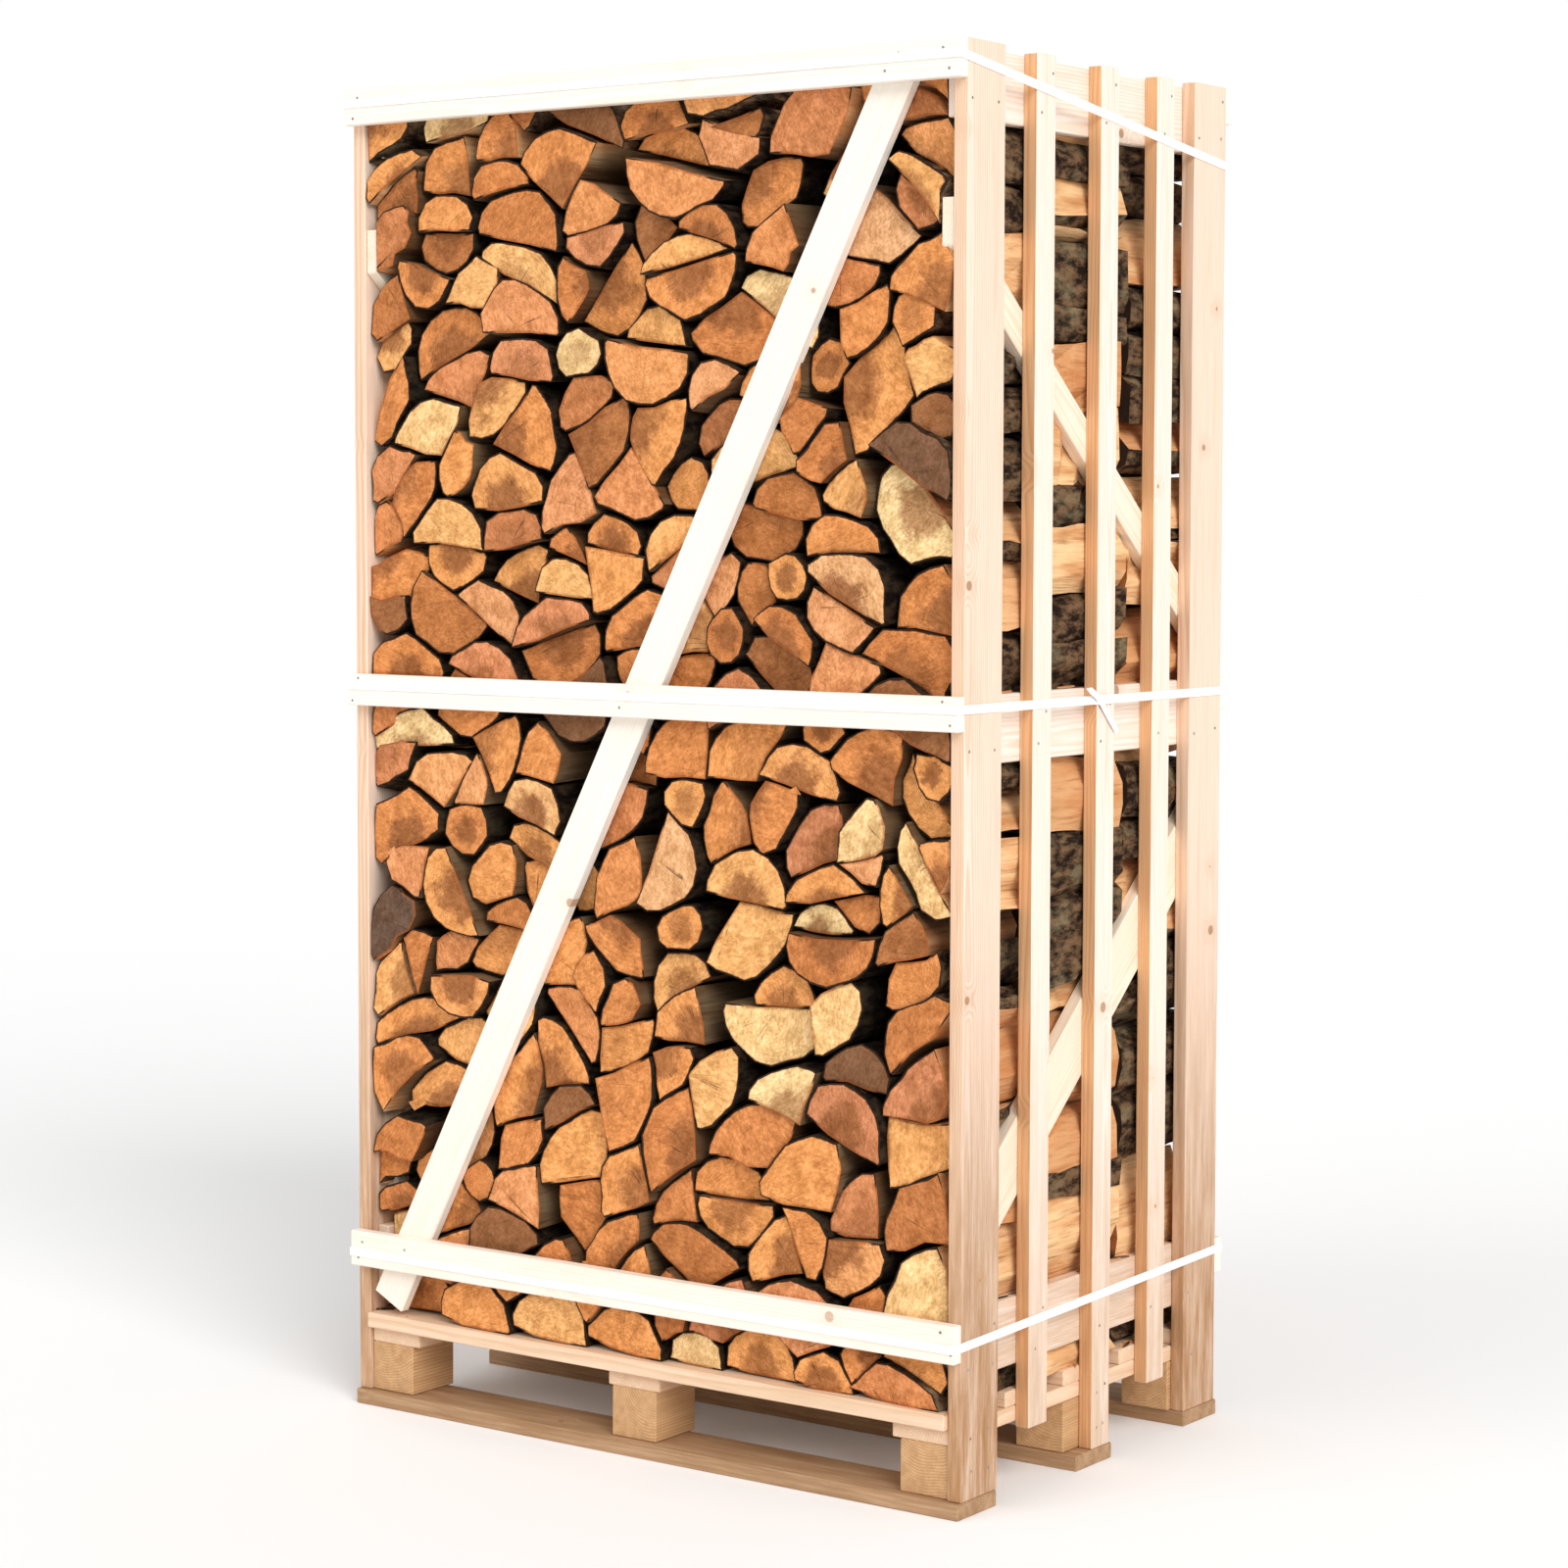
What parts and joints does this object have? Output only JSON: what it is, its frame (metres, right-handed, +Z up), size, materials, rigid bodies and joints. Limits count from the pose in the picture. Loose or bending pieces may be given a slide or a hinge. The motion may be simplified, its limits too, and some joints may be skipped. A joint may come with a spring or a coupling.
{
  "type": "firewood bundle",
  "caption": "Tall slatted softwood crate on a block pallet, filled with stacked split firewood logs and bound with plastic straps; its flat skids rest on the floor.",
  "frame": {"origin": "on the floor, under the centre of the crate's footprint", "axes": "+Z up, along the posts; the open front with the log ends faces -Y and the slatted sides face -X and +X"},
  "size_m": [1.1524, 0.7824, 2.0899],
  "materials": {
    "pallet_timber": "sawn and weathered",
    "side_timber": "sawn",
    "lath_timber": "sawn",
    "log_wood": "split, with rough bark",
    "strap_plastic": "embossed band",
    "nail_steel": "dull wire nail"
  },
  "bodies": {
    "root": {"skid_front": "pallet_timber", "skid_middle": "pallet_timber", "skid_rear": "pallet_timber", "block_front_left": "pallet_timber", "block_front_middle": "pallet_timber", "block_front_right": "pallet_timber", "block_middle_left": "pallet_timber", "block_middle_middle": "pallet_timber", "block_middle_right": "pallet_timber", "block_rear_left": "pallet_timber", "block_rear_middle": "pallet_timber", "block_rear_right": "pallet_timber", "stringboard_left": "pallet_timber", "stringboard_middle": "pallet_timber", "stringboard_right": "pallet_timber", "deck_board_1": "pallet_timber", "deck_board_2": "pallet_timber", "deck_board_3": "pallet_timber", "deck_board_4": "pallet_timber", "deck_board_5": "pallet_timber", "post_front_left": "side_timber", "post_front_right": "side_timber", "post_rear_left": "side_timber", "post_rear_right": "side_timber", "slat_left_1": "side_timber", "slat_left_2": "side_timber", "slat_left_3": "side_timber", "slat_right_1": "side_timber", "slat_right_2": "side_timber", "slat_right_3": "side_timber", "cross_board_lower_left": "side_timber", "cross_board_lower_right": "side_timber", "cross_board_middle_left": "side_timber", "cross_board_middle_right": "side_timber", "cross_board_upper_left": "side_timber", "cross_board_upper_right": "side_timber", "side_brace_lower_left": "side_timber", "side_brace_lower_right": "side_timber", "side_brace_upper_left": "side_timber", "side_brace_upper_right": "side_timber", "front_lath_lower": "lath_timber", "front_lath_middle": "lath_timber", "front_lath_upper": "lath_timber", "back_lath_lower": "lath_timber", "back_lath_middle": "lath_timber", "back_lath_upper": "lath_timber", "front_brace": "lath_timber", "back_brace": "lath_timber", "logs_front_row": "log_wood", "logs_middle_row": "log_wood", "logs_rear_row": "log_wood", "strap_lower": "strap_plastic", "strap_middle": "strap_plastic", "strap_upper": "strap_plastic"}
  },
  "joints": []
}
